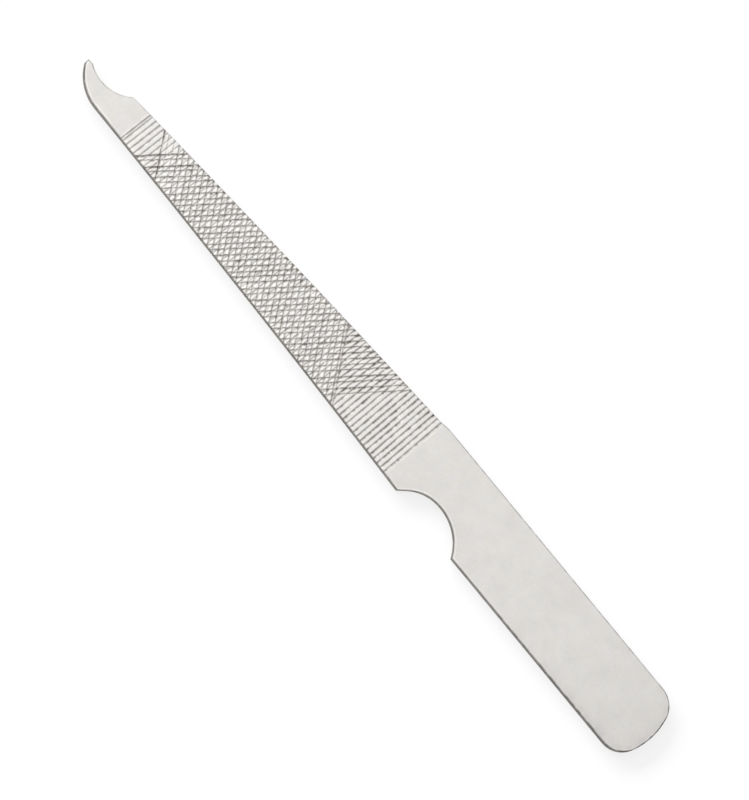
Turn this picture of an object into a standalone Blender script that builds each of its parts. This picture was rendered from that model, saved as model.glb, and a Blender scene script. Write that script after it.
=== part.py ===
"""Nail file: one flat steel blank with a hooked cleaning tip, a cut blade, a thumb notch and a plain handle.

Metres, +Z up. The blank lies on its underside. +X runs from the handle's end to the hook, +Y is the side of the
thumb notch, and the origin is on the underside, midway along the length and across the handle.
"""

import math

import bmesh
import bpy
from mathutils import Matrix, Vector

# Lengths along the file
HANDLE_LENGTH = 0.0540
BLADE_LENGTH = 0.06738
HOOK_LENGTH = 0.00862

# Strip
THICKNESS = 0.0012
EDGE_ROUNDING = 0.00006

# Handle
HANDLE_WIDTH = 0.01228
END_CROWN_RADIUS = 0.01156
END_CORNER_RADIUS = 0.00393
END_CROWN_OFFSET = 0.00035

# Thumb notch, on the +Y side. Its deepest point lies NOTCH_SETBACK from the shoulder, toward the handle. An arc
# rises from there to the handle, and a tighter one toward the blade, which ends in a straight flare
NOTCH_SETBACK = 0.00802
NOTCH_DEPTH = 0.00372
NOTCH_RADIUS = 0.00783
NOTCH_LIP_RADIUS = 0.0066
NOTCH_LIP_TURN = math.radians(9)
NOTCH_FLARE = math.radians(48)
NOTCH_CORNER_RADIUS = 0.0003

# Blade. Its back bulges and its notch side is hollow, both by a hair, and its tip stands off toward +Y
SHOULDER_RUN = 0.00175
BLADE_ROOT_WIDTH = 0.01174
BLADE_ROOT_OFFSET = 0.00003
BLADE_TIP_WIDTH = 0.00545
BLADE_TIP_OFFSET = 0.001575
BLADE_BACK_BULGE = 0.00024
BLADE_SIDE_HOLLOW = 0.00025

# Hook
HOOK_OUTER_RADIUS = 0.00745
HOOK_INNER_RADIUS = 0.00626
HOOK_NOSE_RADIUS = 0.00044
HOOK_NOSE_HEIGHT = 0.00085
HOOK_HEEL_RADIUS = 0.0006

# Tooth cuts are V grooves
GROOVE_ANGLE = math.radians(108)

# Straight cut, on both faces: square to the blade at its root and leaning a little toward the hook at its tip
STRAIGHT_PITCH = 0.0008133
STRAIGHT_DEPTH = 0.00013
STRAIGHT_ROOT_MARGIN = 0.0016
STRAIGHT_TIP_MARGIN = 0.0037
STRAIGHT_TIP_TURN = math.radians(-2.5)

# Overcut and upcut, on the top face, slanted to either side. Where both cross the straight cut, their
# diamonds take its place
OVERCUT_PITCH = 0.000874
OVERCUT_DEPTH = 0.00010
OVERCUT_SLANT = math.radians(-36.0)
OVERCUT_ROOT_MARGIN = 0.0118
OVERCUT_TIP_MARGIN = 0.0100
UPCUT_PITCH = 0.000868
UPCUT_DEPTH = 0.00012
UPCUT_SLANT = math.radians(38.4)
UPCUT_ROOT_MARGIN = 0.0185
UPCUT_TIP_MARGIN = 0.0077

# Facets and cutters
ARC_SAG = 0.000006
SHARP_EDGE = math.radians(30)
BOWED_EDGE_PARTS = 8
CUTTER_RISE = 0.0001
CUTTER_OVERHANG = 0.002
WELD_DISTANCE = 0.000001

# Finish
STEEL_COLOUR = (0.72, 0.71, 0.69, 1.0)
STEEL_ROUGHNESS = 0.38

# Places worked out from the sizes
LENGTH = HANDLE_LENGTH + BLADE_LENGTH + HOOK_LENGTH
END_X = -LENGTH / 2
SHOULDER_X = END_X + HANDLE_LENGTH
HEEL_X = SHOULDER_X + BLADE_LENGTH
NOSE_X = LENGTH / 2
HANDLE_SIDE = HANDLE_WIDTH / 2
ROOT_BACK = BLADE_ROOT_OFFSET - BLADE_ROOT_WIDTH / 2
ROOT_SIDE = BLADE_ROOT_OFFSET + BLADE_ROOT_WIDTH / 2
TIP_BACK = BLADE_TIP_OFFSET - BLADE_TIP_WIDTH / 2
TIP_SIDE = BLADE_TIP_OFFSET + BLADE_TIP_WIDTH / 2
QUARTER = math.pi / 2


def point_on(centre, radius, angle):
    return centre + Vector((math.cos(angle), math.sin(angle))) * radius


def angle_from(centre, point):
    return math.atan2(point.y - centre.y, point.x - centre.x)


def arc(centre, radius, start, end):
    """Points on a circle from one angle to another, with no chord standing off it by more than ARC_SAG."""
    step = 2 * math.acos(1 - min(ARC_SAG / radius, 0.5))
    parts = max(2, math.ceil(abs(end - start) / step))
    return [point_on(centre, radius, start + (end - start) * i / parts) for i in range(parts + 1)]


def bowed(start, end, bow):
    """Points from start to end on a parabola that stands bow to the right of the chord at its middle."""
    along = end - start
    right = Vector((along.y, -along.x)).normalized()
    shares = [i / BOWED_EDGE_PARTS for i in range(BOWED_EDGE_PARTS + 1)]
    return [start + along * s + right * (4 * bow * s * (1 - s)) for s in shares]


def beside(centre, distance, y, side):
    """The point at height y that lies this distance from a centre, to its left (-1) or right (1)."""
    return Vector((centre.x + side * math.sqrt(distance**2 - (y - centre.y) ** 2), y))


def below_chord(first, first_distance, second, second_distance):
    """The point at these distances from two others, on the left of the way from the first to the second."""
    gap = (second - first).length
    along = (second - first) / gap
    run = (first_distance**2 - second_distance**2 + gap**2) / (2 * gap)
    rise = math.sqrt(first_distance**2 - run**2)
    return first + along * run + Vector((-along.y, along.x)) * rise


def hook():
    """The hook, from its rounded heel on the back, round its nose, to where it runs into the notch side."""
    nose = Vector((NOSE_X - HOOK_NOSE_RADIUS, HOOK_NOSE_HEIGHT))
    heel = Vector((HEEL_X, TIP_BACK))
    inner = below_chord(nose, HOOK_INNER_RADIUS + HOOK_NOSE_RADIUS, heel, HOOK_INNER_RADIUS)
    outer = beside(nose, HOOK_OUTER_RADIUS - HOOK_NOSE_RADIUS, TIP_SIDE - HOOK_OUTER_RADIUS, -1)
    round_heel = beside(inner, HOOK_INNER_RADIUS + HOOK_HEEL_RADIUS, TIP_BACK + HOOK_HEEL_RADIUS, -1)
    heel_turn = angle_from(inner, round_heel)
    nose_turn = angle_from(inner, nose)
    outer_turn = angle_from(outer, nose)
    return (
        arc(round_heel, HOOK_HEEL_RADIUS, -QUARTER, heel_turn - math.pi)
        + arc(inner, HOOK_INNER_RADIUS, heel_turn, nose_turn)[1:-1]
        + arc(nose, HOOK_NOSE_RADIUS, nose_turn - math.pi, outer_turn)
        + arc(outer, HOOK_OUTER_RADIUS, outer_turn, QUARTER)[1:]
    )


def notch():
    """The thumb notch, from its rounded corner at the blade to its sharp corner at the handle."""
    bottom = Vector((SHOULDER_X - NOTCH_SETBACK, HANDLE_SIDE - NOTCH_DEPTH))
    centre = bottom + Vector((0, NOTCH_RADIUS))
    lip_start = NOTCH_LIP_TURN - QUARTER
    lip_end = NOTCH_FLARE - QUARTER
    lip = point_on(centre, NOTCH_RADIUS - NOTCH_LIP_RADIUS, lip_start)
    flare = point_on(lip, NOTCH_LIP_RADIUS, lip_end)
    corner_x = flare.x + (ROOT_SIDE - flare.y) / math.tan(NOTCH_FLARE)
    cut_back = NOTCH_CORNER_RADIUS * math.tan(NOTCH_FLARE / 2)
    corner = Vector((corner_x + cut_back, ROOT_SIDE - NOTCH_CORNER_RADIUS))
    handle_corner = beside(centre, NOTCH_RADIUS, HANDLE_SIDE, -1)
    return (
        arc(corner, NOTCH_CORNER_RADIUS, QUARTER, QUARTER + NOTCH_FLARE)
        + arc(lip, NOTCH_LIP_RADIUS, lip_end, lip_start)
        + arc(centre, NOTCH_RADIUS, lip_start, angle_from(centre, handle_corner))[1:]
    )


def handle_end():
    """The crown and its two corners, from the notch side round to the back."""
    crown = Vector((END_X + END_CROWN_RADIUS, END_CROWN_OFFSET))
    reach = END_CROWN_RADIUS - END_CORNER_RADIUS
    side = beside(crown, reach, HANDLE_SIDE - END_CORNER_RADIUS, -1)
    back = beside(crown, reach, END_CORNER_RADIUS - HANDLE_SIDE, -1)
    side_turn = angle_from(crown, side) % math.tau
    back_turn = angle_from(crown, back) % math.tau
    return (
        arc(side, END_CORNER_RADIUS, QUARTER, side_turn)
        + arc(crown, END_CROWN_RADIUS, side_turn, back_turn)[1:-1]
        + arc(back, END_CORNER_RADIUS, back_turn, 3 * QUARTER)
    )


def outline():
    """The blank's outline, counterclockwise, from the shoulder on its back."""
    hook_points = hook()
    notch_points = notch()
    root = Vector((SHOULDER_X + SHOULDER_RUN, ROOT_BACK))
    back = bowed(root, hook_points[0], BLADE_BACK_BULGE)
    side = bowed(hook_points[-1], notch_points[0], -BLADE_SIDE_HOLLOW)
    shoulder = [Vector((SHOULDER_X, -HANDLE_SIDE))]
    return shoulder + back[:-1] + hook_points + side[1:-1] + notch_points + handle_end()


def clear_scene():
    for obj in list(bpy.data.objects):
        bpy.data.objects.remove(obj, do_unlink=True)


def new_collection(name):
    collection = bpy.data.collections.new(name)
    bpy.context.scene.collection.children.link(collection)
    return collection


def steel():
    material = bpy.data.materials.new("satin_steel")
    material.use_nodes = True
    shader = material.node_tree.nodes["Principled BSDF"]
    shader.inputs["Base Color"].default_value = STEEL_COLOUR
    shader.inputs["Metallic"].default_value = 1.0
    shader.inputs["Roughness"].default_value = STEEL_ROUGHNESS
    return material


def blank(collection):
    """The stamped blank: the outline as a filled 2D curve, as thick as the strip, made a closed mesh."""
    points = outline()
    curve = bpy.data.curves.new("blank_outline", "CURVE")
    curve.dimensions = "2D"
    curve.fill_mode = "BOTH"
    curve.extrude = THICKNESS / 2
    spline = curve.splines.new("POLY")
    spline.points.add(len(points) - 1)
    for spline_point, point in zip(spline.points, points):
        spline_point.co = (point.x, point.y, 0, 1)
    spline.use_cyclic_u = True
    guide = bpy.data.objects.new("blank_outline", curve)
    guide.location.z = THICKNESS / 2
    collection.objects.link(guide)
    bpy.context.view_layer.update()
    mesh = bpy.data.meshes.new_from_object(guide.evaluated_get(bpy.context.evaluated_depsgraph_get()))
    mesh.name = "file_body"
    body = bpy.data.objects.new("file_body", mesh)
    body.matrix_world = guide.matrix_world
    collection.objects.link(body)
    bpy.data.objects.remove(guide)
    weld = bmesh.new()
    weld.from_mesh(mesh)
    bmesh.ops.remove_doubles(weld, verts=weld.verts, dist=WELD_DISTANCE)
    bmesh.ops.recalc_face_normals(weld, faces=weld.faces)
    for up in (True, False):
        cap = [face for face in weld.faces if abs(face.normal.z) > 0.5 and (face.normal.z > 0) == up]
        bmesh.ops.dissolve_faces(weld, faces=cap)
    weld.to_mesh(mesh)
    weld.free()
    return body


def round_edges(body):
    bevel = body.modifiers.new("edge_rounding", "BEVEL")
    bevel.width = EDGE_ROUNDING
    bevel.segments = 1
    bevel.limit_method = "ANGLE"
    bevel.angle_limit = SHARP_EDGE


def places(first, last, pitch):
    """Stations from first toward last, one pitch apart."""
    return [first + i * pitch for i in range(math.floor((last - first) / pitch) + 1)]


def straight_cuts(first, last):
    """Station and slant of each straight cut between two stations on the blade's axis."""
    start = SHOULDER_X + STRAIGHT_ROOT_MARGIN
    end = HEEL_X - STRAIGHT_TIP_MARGIN
    stations = [x for x in places(start, end, STRAIGHT_PITCH) if first <= x <= last]
    return [(x, STRAIGHT_TIP_TURN * (x - start) / (end - start)) for x in stations]


def slanted_cuts(root_margin, tip_margin, pitch, slant):
    """Station and slant of each cut of the overcut or the upcut, on the blade's axis."""
    first = SHOULDER_X + root_margin
    last = HEEL_X - tip_margin
    return [(x, slant) for x in places(first, last, pitch / math.cos(slant))]


def groove_cutters(name, cuts, depth, top, collection):
    """V bars across the blade, one for each cut. Each is a three-sided prism with its edge at the groove's foot."""
    height = depth + CUTTER_RISE
    width = 2 * height * math.tan(GROOVE_ANGLE / 2)
    face_z = THICKNESS if top else 0.0
    up = 1 if top else -1
    bars = bmesh.new()
    for station, slant in cuts:
        length = 2 * (HANDLE_WIDTH / math.cos(slant) + CUTTER_OVERHANG)
        # A three-sided prism of unit radius is 1.5 high and sqrt(3) wide, its edge at +Y and its flat at -Y / 2
        place = Matrix.Translation((station, 0, face_z + up * CUTTER_RISE))
        turn = Matrix.Rotation(slant, 4, "Z")
        size = Matrix.Diagonal((width / math.sqrt(3), -up * height / 1.5, 1, 1))
        lay = Matrix.Rotation(QUARTER, 4, "X")
        sink = Matrix.Translation((0, 0.5, 0))
        made = bmesh.ops.create_cone(
            bars,
            cap_ends=True,
            segments=3,
            radius1=1,
            radius2=1,
            depth=length,
            matrix=place @ turn @ lay @ size @ sink,
        )
        faces = {face for vert in made["verts"] for face in vert.link_faces}
        bmesh.ops.recalc_face_normals(bars, faces=list(faces))
    mesh = bpy.data.meshes.new(name)
    bars.to_mesh(mesh)
    bars.free()
    cutter = bpy.data.objects.new(name, mesh)
    cutter.hide_render = True
    cutter.display_type = "WIRE"
    collection.objects.link(cutter)
    return cutter


def cut(body, cutter):
    boolean = body.modifiers.new(cutter.name, "BOOLEAN")
    boolean.operation = "DIFFERENCE"
    boolean.solver = "EXACT"
    boolean.object = cutter


def main():
    clear_scene()
    parts = new_collection("nail_file")
    cutters = new_collection("cutters")
    body = blank(parts)
    body.data.materials.append(steel())
    round_edges(body)
    overcut = slanted_cuts(OVERCUT_ROOT_MARGIN, OVERCUT_TIP_MARGIN, OVERCUT_PITCH, OVERCUT_SLANT)
    upcut = slanted_cuts(UPCUT_ROOT_MARGIN, UPCUT_TIP_MARGIN, UPCUT_PITCH, UPCUT_SLANT)
    root_cuts = straight_cuts(SHOULDER_X, SHOULDER_X + UPCUT_ROOT_MARGIN)
    tip_cuts = straight_cuts(HEEL_X - UPCUT_TIP_MARGIN, HEEL_X)
    under_cuts = straight_cuts(SHOULDER_X, HEEL_X)
    cut(body, groove_cutters("overcut", overcut, OVERCUT_DEPTH, True, cutters))
    cut(body, groove_cutters("upcut", upcut, UPCUT_DEPTH, True, cutters))
    cut(body, groove_cutters("straight_cut_top", root_cuts + tip_cuts, STRAIGHT_DEPTH, True, cutters))
    cut(body, groove_cutters("straight_cut_under", under_cuts, STRAIGHT_DEPTH, False, cutters))


main()
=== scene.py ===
"""Nail file: a stamped steel blank with its tooth cuts, rounded edges and satin finish, on a pale floor.

Metres, +Z up. The blank lies on its underside. +X runs from the handle's end to the hook, and +Y is the
side of the thumb notch. Places in plan are complex numbers, x + iy.
"""

import cmath
import math

import bmesh
import bpy
import numpy as np
from bpy.props import FloatProperty, FloatVectorProperty, IntProperty, PointerProperty
from mathutils import Matrix, Vector


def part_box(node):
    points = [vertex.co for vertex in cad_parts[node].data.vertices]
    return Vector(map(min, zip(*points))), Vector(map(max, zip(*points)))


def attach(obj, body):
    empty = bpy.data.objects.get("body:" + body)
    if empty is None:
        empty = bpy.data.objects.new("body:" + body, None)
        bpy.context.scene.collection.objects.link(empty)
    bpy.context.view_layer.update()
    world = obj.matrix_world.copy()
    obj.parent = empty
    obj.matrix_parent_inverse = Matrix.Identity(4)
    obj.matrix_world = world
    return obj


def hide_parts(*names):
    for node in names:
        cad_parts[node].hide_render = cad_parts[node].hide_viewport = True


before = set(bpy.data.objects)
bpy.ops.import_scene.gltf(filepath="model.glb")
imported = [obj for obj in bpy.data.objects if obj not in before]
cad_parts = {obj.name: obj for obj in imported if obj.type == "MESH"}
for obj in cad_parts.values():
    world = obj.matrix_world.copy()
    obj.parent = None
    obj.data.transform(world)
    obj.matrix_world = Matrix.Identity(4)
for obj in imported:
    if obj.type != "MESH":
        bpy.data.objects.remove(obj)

bl_info = {
    "name": "Nail File",
    "version": (1, 0, 0),
    "blender": (4, 5, 0),
    "location": "3D View > Sidebar > Nail File",
    "description": "Makes a stamped steel nail file with its tooth cuts, and a stage to show it on",
    "category": "Add Mesh",
}

QUARTER = math.pi / 2
MM = 0.001
LOW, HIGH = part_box("file_body")

# A distance beyond everything on the file
FAR = 1.0

# Steps of the outline along an arc, parts of a bowed line, and turns round an edge from face to wall
ARC_STEP = 0.00002
BOW_PARTS = 60
ROUNDING_TURNS = np.array((0.0, math.pi / 4, QUARTER))

# Columns across the file: how far the outer ones lie from the edges, and how many are spread between them
EDGE_COLUMNS = np.array((0.0, 0.05, 0.1, 0.16, 0.24, 0.38)) * MM
PLAIN_COLUMNS = 20
UNDER_COLUMNS = 6
UNDER_EDGE_COLUMNS = EDGE_COLUMNS[::4]

# Rows of a tooth, as shares of the pitch, and how many of those before the first cut are plain steel
TOOTH_ROWS = (0.0, 0.07, 0.15, 0.26, 0.37, 0.48, 0.59, 0.70, 0.80, 0.90)
PLAIN_ROWS = 6

# Stretches of ribs on both sides of the teeth, each with the longest step along the edges in millimetres
HANDLE_STRETCHES = (
    ("crown", "handle", 0.25),
    ("handle", "notch", 1.5),
    ("notch", "corner", 0.3),
    ("corner", "flare", 0.06),
    ("flare", "shoulder", 0.4),
    ("shoulder", "teeth", 0.3),
)
HOOK_STRETCHES = (
    ("teeth_end", "hook", 0.3),
    ("hook", "heel", 0.12),
    ("heel", "nose", 0.2),
    ("nose", "end", 0.06),
)

# Points nearer than this are one. A pattern's last station may miss its end by this share of the pitch. A
# leaning rib's end settles on its edge line in so many rounds
WELD_DISTANCE = 1e-8
STATION_SLACK = 1e-6
LEAN_ROUNDS = 4

# Materials of the mesh in their order, and the names of its marks: painted shade in the grooves (foot),
# painted highlight on the lands (land), a painted shade line along the edges (edge), and a painted
# highlight inside it and beside the burrs (rim)
SATIN, CUT, SHEARED = range(3)
MARKS = ("foot", "land", "edge", "rim")

# The floor lies this far below the file, so that their faces don't meet
FLOOR_GAP = 0.00002

# Unevenness of the cuts: the steps of the noises that bend straight cuts and swell all of them, bend
# slanted ones, and fleck and dot their painted shade, how many knots a noise has, above what level a dot
# lies and how fast its painted shade darkens
COARSE_STEP = 0.0007
BEND_STEP = 0.0004
FINE_STEP = 0.00022
DOT_STEP = 0.00028
KNOTS = 400
DOT_LEVEL = 0.68
DOT_GAIN = 12.0

# How far a cut's strength may lie from its family's, and the power by which a groove's soft side falls
STRENGTH_SPREAD = 0.14
SOFT_POWER = 1.5

# Added to a tooth's length, so that no share of it is divided by nothing
LEAST_TOOTH = 1e-9

# Painted highlight of a land that both slanted cuts cross: at its edges, what its middle adds, and the
# least share of that over a straight tooth
CROSSED_LAND_HIGHLIGHT = 0.15
CROSSED_BLOOM = 0.72
LEAST_BLOOM = 0.6

# The painted lines along the edges, from the crown to the hook's tip: how dark the painted shade line is on
# the notch side and how wide, how dark it is on the back and along the lower edges, how much painted shade
# lies beside it, and how bright the painted highlight inside it is. One place marks where the painted
# shade of the crown ends
EDGE_PLACES = ("crown", "handle", "unshaded", "notch", "corner", "root", "last", "hook", "tip")
SIDE_LINE = (0.9, 0.55, 0.6, 0.3, 0.05, 0.6, 0.4, 0.45, 0.9)
SIDE_SPREAD = (1.2, 0.9, 0.9, 0.7, 0.7, 1.0, 1.0, 1.0, 0.8)
BACK_LINE = (1.1, 0.8, 0.75, 0.75, 0.75, 0.6, 0.5, 0.3, 0.95)
LOWER_LINE = (0.8, 1.3, 0.5, 0.3, 0.4, 0.3, 0.2, 0.2, 1.0)
EDGE_FRINGE_SHADE = (0.25, 0.35, 0.06, 0.0, 0.0, 0.06, 0.0, 0.0, 0.0)
RIM_LINE = (0.5, 0.4, 0.2, 0.6, 0.8, 0.3, 0.4, 0.7, 0.9)

# In widths of the painted shade line: where it ends, how far past that the painted highlight has its
# middle, how far from there it ends and over what stretch it fades
LINE_END = 1.5
RIM_GAP = 0.4
RIM_END = 0.7
RIM_FADE = 0.5

# How strong the last cuts of each family are, from the tip back
STRAIGHT_TIP_WEIGHTS = (3.2, 2.4, 1.1)
OVER_TIP_WEIGHTS = (1.25, 0.8, 1.5)
UP_TIP_WEIGHTS = (1.6, 0.35, 0.45)

# Noises of the steel, in waves per metre. The streaks of the teeth and the wall have three, for X, Y and Z
CLOUD_SCALE = 400.0
DAPPLE_SCALE = 2400.0
WARMTH_SCALE = 700.0
SPECK_SCALE = 400.0
DASH_SCALE = 1100.0
GRAIN_SCALE = 9000.0
TOOTH_STREAKS = (900.0, 7000.0, 900.0)
WALL_STREAKS = (5000.0, 5000.0, 500.0)

# How much the dapple counts beside the clouds, and the middle of their sum
DAPPLE_WEIGHT = 0.5
MOTTLE_MIDDLE = 0.75

# Specks: where their core and they themselves end, in cells, their tone, and above what level there is none
SPECK_CORE = 0.03
SPECK_END = 0.09
SPECK_TONE = 0.93
SPECK_LEVEL = 0.62

# Dashes of the edge lines, and tints of the steel: the noise's levels and what it gives at each
DASH_LEVELS = (0.32, 0.66)
DASH_STRENGTHS = (0.45, 1.15)
TINT_LEVELS = (0.3, 0.7)
WARM = (1.008, 1.0, 0.99)
COOL = (0.992, 1.0, 1.008)

# How far from the crown painted shade darkens the steel
CROWN_SHADE_LENGTH = 0.024

# The sky grows brighter toward the hook where its direction's x lies between these
HOOK_SKY = (-0.32, 0.24)

# Sockets of a Mix node for colours: the first, the second and the result
FIRST_COLOUR, SECOND_COLOUR, MIXED_COLOUR = 6, 7, 2


def length(name, description, default):
    """A length in metres, shown to a hundredth of a millimetre."""
    return FloatProperty(
        name=name, description=description, default=default, min=0, unit="LENGTH", precision=5
    )


def angle(name, description, degrees):
    """An angle, given here in degrees."""
    return FloatProperty(name=name, description=description, default=math.radians(degrees), unit="ROTATION")


def share(name, description, default):
    """A number from 0 to 1."""
    return FloatProperty(
        name=name, description=description, default=default, min=0, max=1, subtype="FACTOR"
    )


def level(name, description, default):
    """A plain number, zero or more."""
    return FloatProperty(name=name, description=description, default=default, min=0)


def colour(name, description, default):
    """A linear colour."""
    return FloatVectorProperty(
        name=name, description=description, default=default, size=3, subtype="COLOR", min=0, max=1
    )


class BlankSizes(bpy.types.PropertyGroup):
    """Sizes of the blank's outline and edges."""

    handle_length: length("Handle length", "From the crown to the shoulder", 0.0540)
    blade_length: length("Blade length", "From the shoulder to the heel of the hook", 0.06738)
    edge_rounding: length("Edge rounding", "Radius along the upper and lower edges", 0.00006)
    crown_radius: length("Crown radius", "Radius of the handle's end", 0.01156)
    crown_corner: length("Crown corner", "Radius of the corners beside the crown", 0.00393)
    crown_offset: length("Crown offset", "How far the crown's centre lies toward the notch side", 0.00035)
    notch_setback: length("Notch setback", "From the shoulder back to the notch's deepest point", 0.00802)
    notch_depth: length("Notch depth", "How far the thumb notch reaches into the side", 0.00372)
    notch_radius: length("Notch radius", "Radius of the notch toward the handle", 0.00783)
    notch_lip_radius: length("Notch lip radius", "Radius of the notch toward the blade", 0.0066)
    notch_lip_turn: angle("Notch lip turn", "How far the handle's arc runs on past the deepest point", 9)
    notch_flare: angle("Notch flare", "Slope of the notch where it opens to the blade", 48)
    notch_corner: length("Notch corner", "Radius of the corner at the blade's root", 0.0003)
    shoulder_run: length("Shoulder run", "Length of the slope behind the blade", 0.00175)
    root_width: length("Root width", "Width of the blade at its root", 0.01174)
    root_offset: length("Root offset", "How far the root's middle lies toward the notch side", 0.00003)
    tip_width: length("Tip width", "Width of the blade where the hook begins", 0.00545)
    tip_offset: length("Tip offset", "How far the tip's middle lies toward the notch side", 0.001575)
    back_bulge: length("Back bulge", "How far the blade's back bows outward", 0.00024)
    side_hollow: length("Side hollow", "How far the blade's notch side bows inward", 0.00025)
    hook_outer: length("Hook outer radius", "Radius of the hook's outer curve", 0.00745)
    hook_inner: length("Hook inner radius", "Radius of the hook's inner curve", 0.00626)
    hook_point: length("Hook point", "How far the hook's point lies toward the notch side", 0.0005)
    hook_wear: length("Hook wear", "How far the point is worn back", 0.00013)
    hook_end: length("Hook end", "Width of the blunt end beside the point", 0.00058)
    hook_flat: length("Hook flat", "Length of the short flat behind the point", 0.00086)
    hook_turn: angle("Hook turn", "How far the square point is turned", 6)
    tip_plain: length("Plain tip", "From the last straight cut to the heel", 0.0037)
    hook_heel: length("Hook heel radius", "Radius of the corner where the hook leaves the back", 0.0006)
    blade_columns: IntProperty(
        name="Blade columns", description="Faces across the blade", default=80, min=8
    )


class CutSizes(bpy.types.PropertyGroup):
    """Sizes of the three cuts on the blade."""

    soft_width: length("Soft side", "Width of a groove's gentle side, toward the handle", 0.00028)
    sharp_width: length("Sharp side", "Width of a groove's steep side, toward the hook", 0.00014)
    # A groove's dark line is painted shade in the steel's colour
    shade_width: level("Shade width", "Width of a groove's dark line, over the groove's width", 1.35)
    land_fall: length("Land fall", "How far each tooth falls from its lip to the next groove", 0.000028)
    wander: length("Wander", "How far a straight cut strays from its line", 0.000012)
    slanted_wander: length("Slanted wander", "How far a slanted cut strays from its line", 0.00005)
    chatter: share("Chatter", "How unevenly deep and dark a straight cut is along its length", 0.52)
    slanted_chatter: share("Slanted chatter", "How unevenly deep and dark a slanted cut is", 0.36)
    straight_shade: share("Straight shade", "How dark the straight cut is", 0.49)
    over_shade: share("Overcut shade", "How dark the overcut is", 0.39)
    up_shade: share("Upcut shade", "How dark the upcut is", 0.29)
    crossing_shade: level("Crossing shade", "How much darker the cuts are where they cross", 1.7)
    crossed_straight: share("Crossed straight cut", "What is left of it where the upcut crosses it", 0.62)
    tip_straight: share("Straight tip shade", "Shade of the straight cut at the tip, over the root", 0.33)
    tip_slanted: level("Slanted tip shade", "Shade of the slanted cuts at the tip, over the root", 1.22)
    # The lands' brightness is a painted highlight
    root_land_highlight: share("Root land", "How bright the lands between straight cuts are at the root", 0.2)
    tip_land_highlight: share("Tip land", "How bright the lands between straight cuts are at the tip", 0.24)
    straight_pitch: length("Straight pitch", "Distance between straight cuts", 0.0008133)
    straight_depth: length("Straight depth", "Depth of the straight cut", 0.00011)
    straight_first: length("Straight root margin", "From the shoulder to the first straight cut", 0.001535)
    straight_lean: angle("Straight lean", "How far the straight cuts lean at the tip", 1.4)
    straight_slip: length("Straight slip", "How far back of its place the last straight cut is", 0.00018)
    # A painted highlight beside the burrs of the outermost straight cuts
    burr_offset: length("Burr offset", "From the outer straight cuts' dark lines to their burrs", 0.00006)
    burr_width: length("Burr width", "Half the width of a bright burr", 0.00014)
    root_burr_highlight: share("Root burr", "How bright the burr is at the root", 0.4)
    tip_burr_highlight: share("Tip burr", "How bright the burr is at the tip", 0.9)
    straight_echo: length("Straight echo", "From the last straight cut to one struck beside it", 0.0004)
    over_pitch: length("Overcut pitch", "Distance between overcuts", 0.000855)
    over_jitter: length("Overcut jitter", "How far an overcut may lie from its even place", 0.00013)
    over_depth: length("Overcut depth", "Depth of the overcut", 0.00010)
    over_slant: angle("Overcut slant", "Slant of the overcut", -36.0)
    over_first: length("Overcut root margin", "From the shoulder to the first overcut, on the axis", 0.0120)
    over_last: length("Overcut tip margin", "From the last overcut to the heel, on the axis", 0.00985)
    up_pitch: length("Upcut pitch", "Distance between upcuts", 0.000868)
    up_jitter: length("Upcut jitter", "How far an upcut may lie from its even place", 0.00006)
    up_depth: length("Upcut depth", "Depth of the upcut", 0.00012)
    up_slant: angle("Upcut slant", "Slant of the upcut", 38.4)
    up_first: length("Upcut root margin", "From the shoulder to the first upcut, on the axis", 0.0185)
    up_last: length("Upcut tip margin", "From the last upcut to the heel, on the axis", 0.0077)
    up_echo: length("Upcut echo", "From the first upcut back to one struck beside it", 0.0004)
    # Painted shade at the cuts' ends, a painted highlight on the lands at the notch side, and bright lands
    # breaking the edge's painted shade line
    end_shade: level("End shade", "How much darker the cuts are where they run out at the back", 0.5)
    start_fade: share("Start fade", "How much paler the cuts are at the notch side's edge", 0.15)
    start_shine: share("Start shine", "How much brighter the lands are at the notch side's edge", 0.5)
    edge_break: share("Edge break", "How far bright lands break the dark line along the edges", 0.5)
    end_reach: length("End reach", "How far from the edges the cuts are darker or paler", 0.0003)
    seed: IntProperty(name="Seed", description="Seed of the cuts' unevenness", default=7, min=0)


class SteelFinish(bpy.types.PropertyGroup):
    """Colours and gloss of the steel."""

    satin_colour: colour("Satin steel", "Colour of the plain faces", (0.733, 0.713, 0.690))
    # Painted highlight: the teeth's lands brighten toward this colour
    land_highlight_colour: colour("Tooth lands", "Colour of the brightest parts of the teeth", (0.96, 0.945, 0.92))
    # Painted shade: the grooves darken to this colour at their feet
    groove_shade_colour: colour("Groove feet", "Colour at the foot of a groove", (0.171, 0.148, 0.132))
    # Painted shade: the stamped edge's dark colour
    shaded_shear_colour: colour("Sheared edge", "Colour of the stamped edge", (0.274, 0.253, 0.228))
    satin_roughness: share("Satin roughness", "Roughness of the plain faces", 0.36)
    cut_roughness: share("Cut roughness", "Roughness of the cut faces", 0.34)
    shear_roughness: share("Sheared roughness", "Roughness of the stamped edge", 0.50)
    # The painted shade line along the edges, on the face, the blade and the wall
    edge_line: length("Edge line", "Width of the dark line along the edges", 0.00014)
    edge_shade: share("Edge shade", "How dark the line along the edges is", 0.75)
    cut_edge: share("Cut edge", "How dark that line is on the blade, over the handle", 0.6)
    wall_edge: share("Wall edge", "How dark it is on the wall, over the face", 0.55)
    wall_swing: share("Wall swing", "How much darker and paler the wall's streaks are", 0.4)
    # Painted shade beside the edges
    fringe_shade_reach: length("Soil reach", "How far in from the edges soil darkens the face", 0.0007)
    # A painted highlight inside the edge line along the hook
    rim_shine: level("Rim shine", "How much brighter the face is inside that line along the hook", 0.32)
    # Painted shade toward the crown
    crown_shade: share("Crown dimming", "How much duller the steel is toward the crown", 0.04)
    streak: share("Streak", "How strong the fine streaks across the teeth are", 0.05)


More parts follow.
